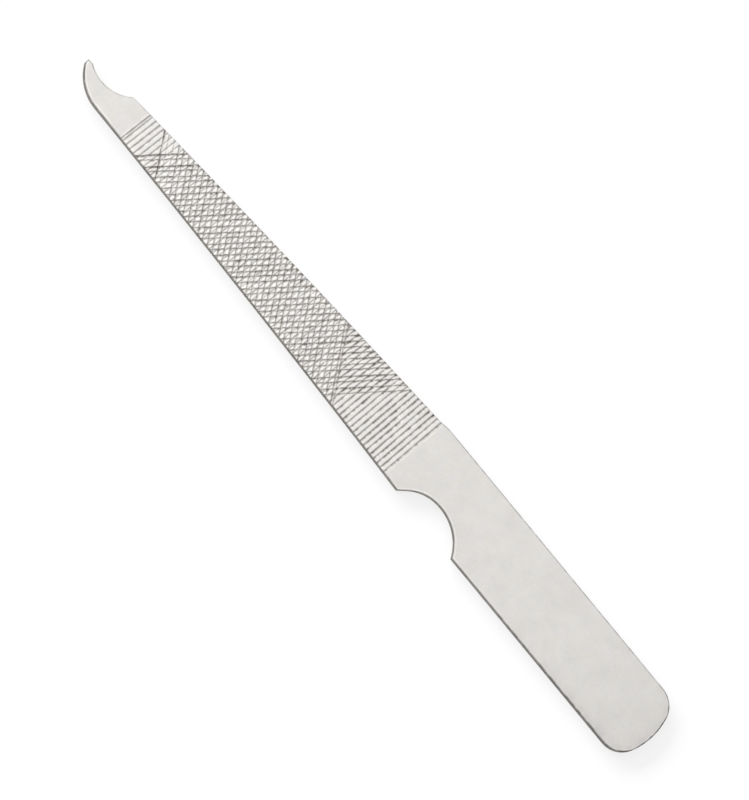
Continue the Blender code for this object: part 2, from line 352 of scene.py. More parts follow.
class StageSizes(bpy.types.PropertyGroup):
    """Camera, floor and light."""

    floor_size: length("Floor size", "Side of the floor", 6.0)
    camera_distance: length("Camera distance", "From the camera to the file", 1.25)
    camera_tilt: angle("Camera tilt", "How far the camera leans from upright toward the notch side", 16.5)
    camera_lean: angle("Camera lean", "How far the camera leans from upright toward the hook", 2.5)
    camera_roll: angle("Camera roll", "How far the camera is turned about its line of sight", 230.51)
    frame_height: length("Frame height", "Height of the view at the file", 0.11779)
    shift_right: length("Look right", "How far right of the file's centre the camera looks", 0.000535)
    shift_down: length("Look down", "How far below the file's centre the camera looks", 0.000236)
    zenith_light: level("Zenith light", "Brightness of the sky overhead", 1.0)
    horizon_light: level("Horizon light", "Brightness of the sky at the horizon", 0.7)
    hook_light: level("Light toward the hook", "How much brighter the sky is on the hook's side", 0.37)
    back_light: level("Light toward the back", "How much brighter the sky is on the back's side", 0.2)
    window_distance: length("Window distance", "From the low side light to the file", 3.0)
    window_width: length("Window width", "Width of the low side light", 2.8)
    window_height: length("Window height", "Height of the low side light", 0.68)
    window_rise: angle("Window rise", "How high the side light stands over the floor", 17.3)
    window_turn: angle("Window turn", "Its turn from the hook's direction toward the notch side", -11)
    window_power: level("Window power", "Power of the side light, in watts", 323)
    floor_albedo: share("Floor albedo", "How much of its light the floor gives back", 0.12)
    floor_lift: level("Floor lift", "Light added to the floor where it is seen or mirrored", 0.788)


def arc(centre, radius, start, end):
    """Points centre + radius (cos a, sin a), with a running evenly from start to end."""
    parts = max(2, math.ceil(abs(end - start) * radius / ARC_STEP))
    return centre + radius * np.exp(1j * np.linspace(start, end, parts + 1))


def bowed(start, end, bow):
    """Points start + s (end - start) + 4 bow s (1 - s) r, for s from 0 to 1 and a unit r to the right."""
    s = np.linspace(0, 1, BOW_PARTS + 1)
    along = end - start
    return start + along * s - 1j * along / abs(along) * 4 * bow * s * (1 - s)


def beside(centre, distance, y, side):
    """The point at height y that lies this distance from a centre, to its left (-1) or right (1)."""
    return complex(centre.real + side * math.sqrt(distance**2 - (y - centre.imag) ** 2), y)


def left_of(first, first_distance, second, second_distance):
    """The point at these distances from two others, on the left of the way from the first to the second."""
    gap = abs(second - first)
    run = (first_distance**2 - second_distance**2 + gap**2) / (2 * gap)
    rise = math.sqrt(first_distance**2 - run**2)
    return first + (second - first) / gap * complex(run, rise)


def edge_lines(blank):
    """The outline as two lines from the crown to the nose: along the notch side, and along the back."""
    end, tip, half = LOW.x, HIGH.x, HIGH.y
    shoulder = end + blank.handle_length
    heel = complex(shoulder + blank.blade_length, blank.tip_offset - blank.tip_width / 2)
    tip_side = blank.tip_offset + blank.tip_width / 2
    root_side = blank.root_offset + blank.root_width / 2
    root_back = complex(shoulder + blank.shoulder_run, blank.root_offset - blank.root_width / 2)

    crown = complex(end + blank.crown_radius, blank.crown_offset)
    reach = blank.crown_radius - blank.crown_corner
    side_corner = beside(crown, reach, half - blank.crown_corner, -1)
    back_corner = beside(crown, reach, blank.crown_corner - half, -1)
    side_turn = cmath.phase(side_corner - crown) % math.tau
    back_turn = cmath.phase(back_corner - crown) % math.tau

    notch = complex(shoulder - blank.notch_setback, half - blank.notch_depth + blank.notch_radius)
    handle_turn = cmath.phase(beside(notch, blank.notch_radius, half, -1) - notch)
    lip_start = blank.notch_lip_turn - QUARTER
    lip_end = blank.notch_flare - QUARTER
    lip = notch + cmath.rect(blank.notch_radius - blank.notch_lip_radius, lip_start)
    flare = lip + cmath.rect(blank.notch_lip_radius, lip_end)
    corner_x = flare.real + (root_side - flare.imag) / math.tan(blank.notch_flare)
    corner_x += blank.notch_corner * math.tan(blank.notch_flare / 2)
    corner = complex(corner_x, root_side - blank.notch_corner)

    point = complex(tip - blank.hook_wear, blank.hook_point)
    end_side = point + cmath.rect(blank.hook_end, QUARTER + blank.hook_turn)
    flat_end = point + cmath.rect(blank.hook_flat, math.pi + blank.hook_turn)
    inner = left_of(flat_end, blank.hook_inner, heel, blank.hook_inner)
    outer = beside(end_side, blank.hook_outer, tip_side - blank.hook_outer, -1)
    round_heel = beside(inner, blank.hook_inner + blank.hook_heel, heel.imag + blank.hook_heel, -1)
    heel_turn = cmath.phase(round_heel - inner)
    flat_turn = cmath.phase(flat_end - inner)
    outer_turn = cmath.phase(end_side - outer)

    side = [
        arc(crown, blank.crown_radius, math.pi, side_turn),
        arc(side_corner, blank.crown_corner, side_turn, QUARTER)[1:],
        arc(notch, blank.notch_radius, handle_turn, lip_start),
        arc(lip, blank.notch_lip_radius, lip_start, lip_end)[1:],
        arc(corner, blank.notch_corner, QUARTER + blank.notch_flare, QUARTER),
        bowed(complex(corner_x, root_side), complex(outer.real, tip_side), blank.side_hollow)[1:],
        arc(outer, blank.hook_outer, QUARTER, outer_turn)[1:],
        bowed(end_side, point, 0)[1:],
    ]
    back = [
        arc(crown, blank.crown_radius, math.pi, back_turn),
        arc(back_corner, blank.crown_corner, back_turn, 3 * QUARTER)[1:],
        [complex(shoulder, -half)],
        bowed(root_back, round_heel - 1j * blank.hook_heel, blank.back_bulge),
        arc(round_heel, blank.hook_heel, -QUARTER, heel_turn - math.pi)[1:],
        arc(inner, blank.hook_inner, heel_turn, flat_turn)[1:],
        bowed(flat_end, point, 0)[1:],
    ]
    corners = {
        "crown": end,
        "handle": max(side_corner.real, back_corner.real),
        "notch": notch.real + blank.notch_radius * math.cos(handle_turn),
        "corner": corner.real - blank.notch_corner * math.sin(blank.notch_flare),
        "flare": corner_x,
        "shoulder": shoulder,
        "root": root_back.real,
        "last": heel.real - blank.tip_plain,
        "hook": round_heel.real,
        "heel": heel.real,
        "nose": flat_end.real,
        "end": end_side.real,
        "tip": point.real,
        # Where the painted shade toward the crown ends
        "unshaded": end + CROWN_SHADE_LENGTH,
        "crown_centre": crown,
        "end_normal": cmath.rect(1, blank.hook_turn),
        "point": point,
    }
    return np.concatenate(side), np.concatenate(back), corners


def even_stations(side, back, start, end, step):
    """Stations from start to end, between which neither edge line advances by more than a step."""
    x = np.unique(np.concatenate((side.real, back.real)))
    advance = np.zeros(len(x))
    for line in (side, back):
        run = np.concatenate(([0], np.cumsum(np.abs(np.diff(line)))))
        along = np.interp(x, line.real, run)
        advance[1:] = np.maximum(advance[1:], np.diff(along))
    way = np.cumsum(advance)
    first, last = np.interp((start, end), x, way)
    parts = max(1, math.ceil((last - first) / step))
    return np.interp(np.linspace(first, last, parts + 1), way, x)


def rib_ends(line, stations, lean):
    """Where each rib meets an edge line. A rib through x on the axis runs along x + lean y."""
    y = np.interp(stations, line.real, line.imag)
    for _ in range(LEAN_ROUNDS):
        y = np.interp(stations + lean * y, line.real, line.imag)
    return stations + lean * y + 1j * y


def outward(points, turn):
    """Unit normals of a line of points, each halving the angle there, and along X at both ends.

    Turn is 1j for the left of the way, and -1j for the right.
    """
    steps = np.diff(points)
    steps = steps / np.abs(steps)
    halved = steps[:-1] + steps[1:]
    inner = turn * halved / np.abs(halved)
    return np.concatenate(([-1], inner, [1]))


def eased(t):
    """3 t^2 - 2 t^3, for t held between 0 and 1."""
    t = np.clip(t, 0, 1)
    return t * t * (3 - 2 * t)


def noise_along(knots, index, q, step):
    """Value noise along the cuts: the knots on either side of q on a cut, joined by 3 t^2 - 2 t^3."""
    place = (q / step) % KNOTS
    whole = np.floor(place).astype(int) % KNOTS
    t = eased(place - whole)
    return knots[index, whole] * (1 - t) + knots[index, (whole + 1) % KNOTS] * t


class Grooves:
    """One family of parallel chisel cuts. A cut at station x on the axis runs at a slant to the Y axis.

    For a slant a, a point's place across the cuts is s = x cos a + y sin a, and its place along them is
    q = y cos a - x sin a. Each cut strays from its line by value noise along q, and is unevenly deep and
    dark by others. The cuts' painted shade is darkest at the foot and fades out past the groove's sides. A
    land's middle is 1 where its point is furthest from both cuts beside it, 4 t (1 - t) with t the share of
    the way between them. A cut without depth lies past each end, so that every point has one on both sides.
    """

    def __init__(self, stations, jitter, depth, slant, shade, weights, cuts, rng):
        self.cuts = cuts
        self.chatter = cuts.slanted_chatter if slant else cuts.chatter
        self.wander = cuts.slanted_wander if slant else cuts.wander
        self.bend_step = BEND_STEP if slant else COARSE_STEP
        self.slant = slant
        lines = stations * math.cos(slant) + jitter * rng.uniform(-1, 1, len(stations))
        count = len(lines) + 2
        self.lines = np.concatenate(([lines[0] - FAR], lines, [lines[-1] + FAR]))
        weight = 1 + rng.uniform(-STRENGTH_SPREAD, STRENGTH_SPREAD, count)
        weight[-1 - len(weights) : -1] = weights[::-1]
        weight[[0, -1]] = 0
        self.depths = depth * np.minimum(weight, 1)
        self.shades = shade * weight
        self.strays, self.swells, self.flecks = rng.uniform(-1, 1, (3, count, KNOTS))

    def measure(self, s, q):
        """The drop in a groove, its painted shade, the share of a tooth passed, its middle, and if inside.
        """
        cuts = self.cuts
        after = np.clip(np.searchsorted(self.lines, s), 1, len(self.lines) - 1)
        before = after - 1
        drops, shades, gaps = [], [], []
        for index, sign, width in ((before, 1, cuts.sharp_width), (after, -1, cuts.soft_width)):
            line = self.lines[index] + self.wander * noise_along(self.strays, index, q, self.bend_step)
            gap = np.maximum(sign * (s - line), 0)
            swell = 1 + self.chatter * noise_along(self.swells, index, q, COARSE_STEP)
            fleck = noise_along(self.flecks, index, q, FINE_STEP)
            dot = DOT_GAIN * np.maximum(noise_along(self.flecks, index, q, DOT_STEP) - DOT_LEVEL, 0)
            uneven = swell + self.chatter * (fleck + dot)
            near = np.clip(1 - gap / width, 0, 1)
            drops.append(self.depths[index] * swell * (near if sign > 0 else near**SOFT_POWER))
            reach = cuts.shade_width * width
            shades.append(self.shades[index] * uneven * eased(1 - gap / reach))
            gaps.append(gap)
        inside = (self.depths[before] > 0) & (self.depths[after] > 0)
        passed = np.where(inside, gaps[0] / (gaps[0] + gaps[1] + LEAST_TOOTH), 0)
        shade = np.clip(np.maximum(*shades), 0, 1)
        return np.maximum(*drops), shade, passed, 4 * passed * (1 - passed), inside


def stations_between(first, last, pitch):
    """Stations from first toward last, one pitch apart."""
    return first + pitch * np.arange(math.floor((last - first) / pitch + STATION_SLACK) + 1)


class CutFace:
    """The three cuts of the upper face, or the straight cut alone for the underside."""

    def __init__(self, cuts, corners, three):
        rng = np.random.default_rng(cuts.seed + (0 if three else 1))
        shoulder, heel = corners["shoulder"], corners["heel"]
        self.cuts = cuts
        self.first = shoulder + cuts.straight_first
        self.last = corners["last"]
        self.slope = math.tan(cuts.straight_lean) / (self.last - self.first)
        self.stations = stations_between(self.first, self.last, cuts.straight_pitch)
        struck = np.append(self.stations, self.stations[-1] + cuts.straight_echo)
        self.straight = Grooves(
            struck, 0, cuts.straight_depth, 0, cuts.straight_shade, STRAIGHT_TIP_WEIGHTS, cuts, rng
        )
        struck[-2] -= cuts.straight_slip
        self.burrs = (
            (struck[0] - cuts.shade_width * cuts.soft_width - cuts.burr_offset, cuts.root_burr_highlight),
            (struck[-1] + cuts.shade_width * cuts.sharp_width + cuts.burr_offset, cuts.tip_burr_highlight),
        )
        self.slanted = []
        if three:
            over_step = cuts.over_pitch / math.cos(cuts.over_slant)
            over = stations_between(shoulder + cuts.over_first, heel - cuts.over_last, over_step)
            over_sizes = cuts.over_jitter, cuts.over_depth, cuts.over_slant, cuts.over_shade
            up_step = cuts.up_pitch / math.cos(cuts.up_slant)
            up = stations_between(shoulder + cuts.up_first, heel - cuts.up_last, up_step)
            up = np.insert(up, 0, up[0] - cuts.up_echo)
            up_sizes = cuts.up_jitter, cuts.up_depth, cuts.up_slant, cuts.up_shade
            self.slanted = [
                Grooves(over, *over_sizes, OVER_TIP_WEIGHTS, cuts, rng),
                Grooves(up, *up_sizes, UP_TIP_WEIGHTS, cuts, rng),
            ]

    def lean(self, stations):
        """The straight cut's lean, as a slope: none up to the first cut, and growing evenly to the last."""
        return self.slope * np.clip(stations - self.first, 0, self.last - self.first)

    def station(self, plan):
        """Where on the axis the leaning line of a straight cut through each point starts."""
        x, y = plan.real, plan.imag
        return np.where(x < self.first, x, (x + self.slope * self.first * y) / (1 + self.slope * y))

    def burr(self, plan):
        """A painted highlight beside the burrs that the outermost straight cuts raise."""
        station, width = self.station(plan), self.cuts.burr_width
        return sum(shine * eased(1 - np.abs(station - line) / width) for line, shine in self.burrs)

    def measure(self, plan):
        """Drop below the face, painted shade, and the painted highlight of the lands at each point.

        The upcut, made last, wears down the straight cut and the crossings. The lands' painted highlight is
        brightest in their middles where both slanted cuts cross the straight one, and a quarter so where
        one does. The painted shade is 1 less the product of each cut's clearness, and more where two cuts
        cross, by the product of their shades.
        """
        cuts = self.cuts
        x, y = plan.real, plan.imag
        drop, shade, passed, middle, inside = self.straight.measure(self.station(plan), y)
        fall = cuts.land_fall * passed
        crossed = np.zeros(x.shape)
        worn = np.ones(x.shape)
        bloom = LEAST_BLOOM + (1 - LEAST_BLOOM) * middle
        slanted_cuts = []
        for family in self.slanted:
            turned = plan * cmath.rect(1, -family.slant)
            cut_drop, cut_shade, passed, middle, within = family.measure(turned.real, turned.imag)
            slanted_cuts.append((cut_drop, cut_shade))
            fall = np.maximum(fall, cuts.land_fall * passed)
            bloom = bloom * np.where(within, middle, 1.0)
            crossed = crossed + within / len(self.slanted)
            worn = np.where(within, cuts.crossed_straight, 1.0)
            inside = inside | within
        drop = drop * worn
        ends = self.first, self.last
        clear = 1 - shade * worn * np.interp(x, ends, (1, cuts.tip_straight))
        slanted = np.interp(x, ends, (1, cuts.tip_slanted))
        crossing = np.zeros(x.shape)
        for cut_drop, cut_shade in slanted_cuts:
            drop = np.maximum(drop, cut_drop)
            cut_shade = np.minimum(cut_shade * slanted, 1)
            crossing = crossing * worn + (1 - clear) * cut_shade
            clear = clear * (1 - cut_shade)
        plain = np.interp(x, ends, (cuts.root_land_highlight, cuts.tip_land_highlight))
        land = inside * (plain + crossed**2 * (CROSSED_LAND_HIGHLIGHT + CROSSED_BLOOM * bloom - plain))
        crossing = crossing * worn**2
        return drop + fall, np.clip(1 - clear + cuts.crossing_shade * crossing, 0, 1), land


def zip_rows(first, second):
    """Triangles between two rows of vertex numbers that run the same way with unlike counts."""
    a = np.linspace(0, 1, len(first))[1:]
    b = np.linspace(0, 1, len(second))[1:]
    order = np.argsort(np.concatenate((a, b)), kind="stable")
    on_first = order < len(a)
    i = np.cumsum(on_first) - on_first
    j = np.cumsum(~on_first) - ~on_first
    next_i = np.minimum(i + 1, len(first) - 1)
    next_j = np.minimum(j + 1, len(second) - 1)
    third = np.where(on_first, first[next_i], second[next_j])
    return np.stack((first[i], third, second[j]), axis=1)


def quads(grid):
    """Quads of a grid of vertex numbers, rows along X and columns toward -Y, seen from outside."""
    return np.stack((grid[:-1, :-1], grid[:-1, 1:], grid[1:, 1:], grid[1:, :-1]), axis=-1).reshape(-1, 4)


def split_quads(corners, heights):
    """Two triangles for each quad, divided between its corners that are nearest in height."""
    z = heights[corners]
    even = np.abs(z[:, 0] - z[:, 2]) <= np.abs(z[:, 1] - z[:, 3])
    one = np.where(even[:, None], corners[:, [0, 1, 2]], corners[:, [0, 1, 3]])
    two = np.where(even[:, None], corners[:, [0, 2, 3]], corners[:, [1, 2, 3]])
    return np.concatenate((one, two))


def laid(places, stretches):
    """The stations of each stretch."""
    side, back = places["lines"]
    return [even_stations(side, back, places[a], places[b], step * MM) for a, b, step in stretches]


def stations_of(corners, face):
    """Stations of the ribs, and the numbers of the last on the handle and the last on the cut blade."""
    pitch = face.cuts.straight_pitch
    feet = np.concatenate(([face.stations[0] - pitch], face.stations))
    rows = (feet[:, None] + pitch * np.array(TOOTH_ROWS)).ravel()
    places = corners | {"teeth": rows[0], "teeth_end": rows[-1]}
    handle = np.concatenate([stations[:-1] for stations in laid(places, HANDLE_STRETCHES)])
    hook = np.concatenate([stations[1:] for stations in laid(places, HOOK_STRETCHES)])
    stations = np.concatenate((handle, rows, hook, [corners["tip"]]))
    return stations, len(handle) - 1, len(handle) + len(rows) - 1


def spread(near, far, middle, margins=EDGE_COLUMNS):
    """Points across each rib: at fixed distances from both ends, and evenly between. Shape (ribs, points).

    On a rib under three times as wide as the last distance, the distances shrink with the rib.
    """
    width = np.abs(far - near)
    margin = margins / np.maximum(width, 3 * margins[-1])[:, None]
    t = np.linspace(0, 1, middle + 2)[1:-1]
    between = margin[:, -1:] * (1 - t) + (1 - margin[:, -1:]) * t
    shares = np.hstack((margin, between, 1 - margin[:, ::-1]))
    return near[:, None] * (1 - shares) + far[:, None] * shares


class Rim:
    """Where the outline's ribs end, which way is outward there, and how near its edges any point lies."""

    def __init__(self, blank, corners, stations, lean):
        self.blank = blank
        self.crown = corners["crown_centre"]
        self.point, self.end_normal = corners["point"], corners["end_normal"]
        self.places = [corners[name] for name in EDGE_PLACES]
        side, back = corners["lines"]
        self.side = rib_ends(side, stations, lean)
        self.back = rib_ends(back, stations, lean)
        self.side_out = outward(self.side, 1j)
        self.back_out = outward(self.back, -1j)

    def inside(self, ends, out, depths):
        """Points these depths inside the outline, which is square at its last point."""
        points = ends[:, None] - out[:, None] * depths
        points[-1] = self.point - depths * self.end_normal * (1 - 1j)
        return points

    def depths(self, plan, rows):
        """How far each point lies inside the notch side with both ends, and inside the back."""
        from_side = ((self.side[rows, None] - plan) * self.side_out[rows, None].conj()).real
        from_back = ((self.back[rows, None] - plan) * self.back_out[rows, None].conj()).real
        inside = self.blank.crown_radius - np.abs(plan - self.crown)
        from_crown = np.where(plan.real < self.crown.real, inside, FAR)
        from_end = ((self.point - plan) * self.end_normal.conjugate()).real
        return np.minimum(np.minimum(from_side, from_crown), from_end), from_back


def edge_marks(finish, rim, x, from_side, from_back):
    """The painted shade line along an upper edge, the painted highlight inside it, and the painted shade
    line along a lower edge.

    Their strengths come from the tables of the edge lines. A painted shade line is whole up to half its
    width from the edge, and gone at one and a half. The painted highlight has its middle 0.4 widths past
    that, is whole for 0.2 widths to either side and gone at 0.7. Painted shade beside the notch side's edge
    fades by its reach.
    """
    tables = SIDE_LINE, SIDE_SPREAD, BACK_LINE, LOWER_LINE, EDGE_FRINGE_SHADE, RIM_LINE
    side, wide, back, lower, fringe_shade, shine = (np.interp(x, rim.places, table) for table in tables)
    width = finish.edge_line
    side = side * eased(LINE_END - from_side / (width * wide))
    back = back * eased(LINE_END - from_back / width)
    lower = lower * eased(LINE_END - np.minimum(from_side, from_back) / width)
    # Painted shade beside the notch side's edge
    fringe_shade = fringe_shade * np.exp(-np.maximum(from_side, 0) / finish.fringe_shade_reach)
    from_middle = np.abs(from_side / width - LINE_END * wide - RIM_GAP)
    shine = shine * eased((RIM_END - from_middle) / RIM_FADE)
    return np.maximum(side, back) + fringe_shade, shine, lower


def upper_marks(cuts, finish, face, rim, plan, rows):
    """Drop below the upper face, its four marks of painted light, and the painted shade line of a lower
    edge straight below.

    The cuts' painted shade runs out darker at the back's edge, and paler at the notch side's, where the
    lands' painted highlight is brighter.
    """
    # foot is the grooves' painted shade, and land the lands' painted highlight
    drop, foot, land = face.measure(plan)
    from_side, from_back = rim.depths(plan, rows)
    ends = np.exp(-np.maximum(from_back, 0) / cuts.end_reach)
    starts = np.exp(-np.maximum(from_side, 0) / cuts.end_reach)
    foot = np.clip(foot * (1 + cuts.end_shade * ends) * (1 - cuts.start_fade * starts), 0, 1)
    land = np.clip(land * (1 + cuts.start_shine * starts), 0, 1)
    dark, bright, lower = edge_marks(finish, rim, plan.real, from_side, from_back)
    dark = dark * (1 - cuts.edge_break * land)
    return drop, np.stack((foot, land, dark, np.maximum(bright, face.burr(plan))), axis=-1), lower


def lay_sections(blank, cuts, finish):
    """The body's surface as one grid of sections and three patches of its upper face.

    Ribs cross the blank from the notch side to the back. The skirt is a profile carried along the file:
    from the upper rim of the notch side, round its rounded edge, down the wall, under the body and up the
    back to the rim there. A rounded edge of radius r turns by f from the face to the wall: it lies
    r (1 - sin f) inside the outline and r (1 - cos f) below the face. Each point of the upper face lies on
    a rib between the rims. Every point sinks to the foot of any groove that passes under it.
    """
    side, back, corners = edge_lines(blank)
    corners["lines"] = side, back
    over = CutFace(cuts, corners, True)
    under = CutFace(cuts, corners, False)
    stations, handle_end, blade_end = stations_of(corners, over)
    fade = np.clip((corners["hook"] - stations) / (corners["hook"] - stations[blade_end]), 0, 1)
    rim = Rim(blank, corners, stations, over.lean(stations) * fade)
    radius = blank.edge_rounding
    inset = radius * (1 - np.sin(ROUNDING_TURNS))
    sunk = radius * (1 - np.cos(ROUNDING_TURNS))
    side_round = rim.inside(rim.side, rim.side_out, inset)
    back_round = rim.inside(rim.back, rim.back_out, inset)
    across = spread(side_round[:, 0], back_round[:, 0], UNDER_COLUMNS, UNDER_EDGE_COLUMNS)
    flat = np.zeros(across.shape[1] - 2)
    skirt = np.hstack((side_round, side_round[:, ::-1], across[:, 1:-1], back_round, back_round[:, ::-1]))
    rounded = np.concatenate((sunk, sunk[::-1], flat, sunk, sunk[::-1]))
    turns = len(ROUNDING_TURNS)
    upper = np.zeros(skirt.shape[1], bool)
    upper[:turns] = upper[-turns:] = True

    thickness = (HIGH - LOW).z
    drop, marks, lower = upper_marks(cuts, finish, over, rim, skirt, slice(None))
    rise, groove_shade_under, land_highlight_under = under.measure(skirt)
    height = np.where(upper, thickness - np.maximum(rounded, drop), np.maximum(rounded, rise))
    # Under the body: the straight cut's painted shade and land highlight, and the lower edge's painted
    # shade line
    marks_under = np.stack((groove_shade_under, land_highlight_under, lower, np.zeros(skirt.shape)), axis=-1)
    marks = np.where(upper[:, None], marks, marks_under)
    points = [np.stack((skirt.real, skirt.imag, height), axis=-1).reshape(-1, 3)]
    masks = [marks.reshape(-1, marks.shape[-1])]
    number = np.arange(skirt.size).reshape(skirt.shape)
    count = skirt.size
    grids = []
    for first, last, columns in (
        (0, handle_end, PLAIN_COLUMNS),
        (handle_end + 1, blade_end, blank.blade_columns),
        (blade_end + 1, len(stations) - 1, PLAIN_COLUMNS),
    ):
        rows = slice(first, last + 1)
        plan = spread(side_round[rows, 0], back_round[rows, 0], columns)[:, 1:-1]
        drop, marks, _ = upper_marks(cuts, finish, over, rim, plan, rows)
        points.append(np.stack((plan.real, plan.imag, thickness - drop), axis=-1).reshape(-1, 3))
        masks.append(marks.reshape(-1, marks.shape[-1]))
        inner = np.arange(count, count + plan.size).reshape(plan.shape)
        count += plan.size
        grids.append(np.hstack((number[rows, :1], inner, number[rows, -1:])))
    return np.concatenate(points), np.concatenate(masks), number, grids


def file_body_mesh(blank, cuts, finish):
    """The whole file's mesh: the skirt, the upper face's three patches and the strips between them."""
    points, masks, skirt, (handle, blade, hook) = lay_sections(blank, cuts, finish)
    turns = len(ROUNDING_TURNS)
    skirt_faces = quads(skirt)[:, ::-1]
    skirt_slots = np.full((skirt.shape[0] - 1, skirt.shape[1] - 1), SATIN)
    skirt_slots[len(handle) + PLAIN_ROWS : len(handle) + len(blade) - 1] = CUT
    skirt_slots[:, [turns - 1, -turns]] = SHEARED
    plain = np.concatenate((quads(handle), quads(hook)))
    teeth = split_quads(quads(blade), points[:, 2])
    strips = np.concatenate((zip_rows(handle[-1], blade[0]), zip_rows(blade[-1], hook[0])))
    faces = skirt_faces.tolist() + plain.tolist() + strips.tolist() + teeth.tolist()
    plain_slots = np.full(len(plain) + len(strips), SATIN)
    blade_slots = np.full((2, blade.shape[0] - 1, blade.shape[1] - 1), CUT)
    blade_slots[:, :PLAIN_ROWS] = SATIN
    slots = np.concatenate((skirt_slots.ravel(), plain_slots, blade_slots.ravel()))
    mesh = bpy.data.meshes.new("nail_file_body")
    mesh.from_pydata(points, [], faces)
    mesh.polygons.foreach_set("material_index", slots.astype(np.int32))
    for column, name in enumerate(MARKS):
        mask = mesh.attributes.new(name, "FLOAT", "POINT")
        mask.data.foreach_set("value", masks[:, column].astype(np.float32))
    weld = bmesh.new()
    weld.from_mesh(mesh)
    bmesh.ops.remove_doubles(weld, verts=weld.verts, dist=WELD_DISTANCE)
    weld.to_mesh(mesh)
    weld.free()
    mesh.validate()
    mesh.shade_smooth()
    return mesh


def add(tree, kind, place, **values):
    """A node at a place in its tree. A value is set on the node, or on the input socket of that name."""
    made = tree.nodes.new(kind)
    made.location = place
    for key, value in values.items():
        if hasattr(made, key):
            setattr(made, key, value)
        else:
            made.inputs[key.replace("_", " ")].default_value = value
    return made


def join(tree, *pairs):
    """Links each output to its input."""
    for output, socket in pairs:
        tree.links.new(output, socket)


def calculate(tree, operation, place, *values):
    """The result of a Math node at a place in its tree, from numbers or other nodes' outputs."""
    made = add(tree, "ShaderNodeMath", place, operation=operation)
    for socket, value in zip(made.inputs, values):
        if isinstance(value, bpy.types.NodeSocket):
            tree.links.new(value, socket)
        else:
            socket.default_value = value
    return made.outputs[0]


def eased_between(tree, place, value, low, high, start=0.0, end=1.0):
    """A smooth step: start where the value is below low, end where it is above high."""
    made = add(tree, "ShaderNodeMapRange", place, interpolation_type="SMOOTHSTEP")
    tree.links.new(value, made.inputs["Value"])
    for label, bound in (("From Min", low), ("From Max", high), ("To Min", start), ("To Max", end)):
        made.inputs[label].default_value = bound
    return made.outputs["Result"]


def texture(tree, kind, place, where, scale, **values):
    """A procedural texture of a given scale, at a place in its tree."""
    made = add(tree, kind, place, Scale=scale, **values)
    tree.links.new(where, made.inputs["Vector"])
    return made


def blend(tree, place, share_of, first, second, kind="MIX"):
    """A colour between two others, each a colour or an output."""
    made = add(tree, "ShaderNodeMix", place, data_type="RGBA", blend_type=kind)
    for number, value in ((0, share_of), (FIRST_COLOUR, first), (SECOND_COLOUR, second)):
        socket = made.inputs[number]
        if isinstance(value, bpy.types.NodeSocket):
            tree.links.new(value, socket)
        elif isinstance(value, float):
            socket.default_value = value
        else:
            socket.default_value = (*value, 1)
    return made.outputs[MIXED_COLOUR]


def group(name, inputs, outputs):
    """An empty node group, with its sockets given as (name, kind), and its input and output nodes."""
    tree = bpy.data.node_groups.new(name, "ShaderNodeTree")
    for direction, sockets in (("INPUT", inputs), ("OUTPUT", outputs)):
        for label, kind in sockets:
            tree.interface.new_socket(label, in_out=direction, socket_type="NodeSocket" + kind)
    return tree, add(tree, "NodeGroupInput", (-1500, 0)), add(tree, "NodeGroupOutput", (900, 0))


def mark(tree, name, place):
    """A mark stored on the mesh."""
    return add(tree, "ShaderNodeAttribute", place, attribute_name=name).outputs["Fac"]


def object_place(tree, place):
    """The object's own coordinates."""
    return add(tree, "ShaderNodeTexCoord", place).outputs["Object"]


def streaks(tree, place, scale, detail):
    """Noise with its own number of waves along each axis."""
    x, y = place
    drawn = add(tree, "ShaderNodeMapping", (x - 200, y), Scale=scale)
    tree.links.new(object_place(tree, (x - 400, y)), drawn.inputs["Vector"])
    return texture(tree, "ShaderNodeTexNoise", place, drawn.outputs[0], 1.0, Detail=detail).outputs["Fac"]


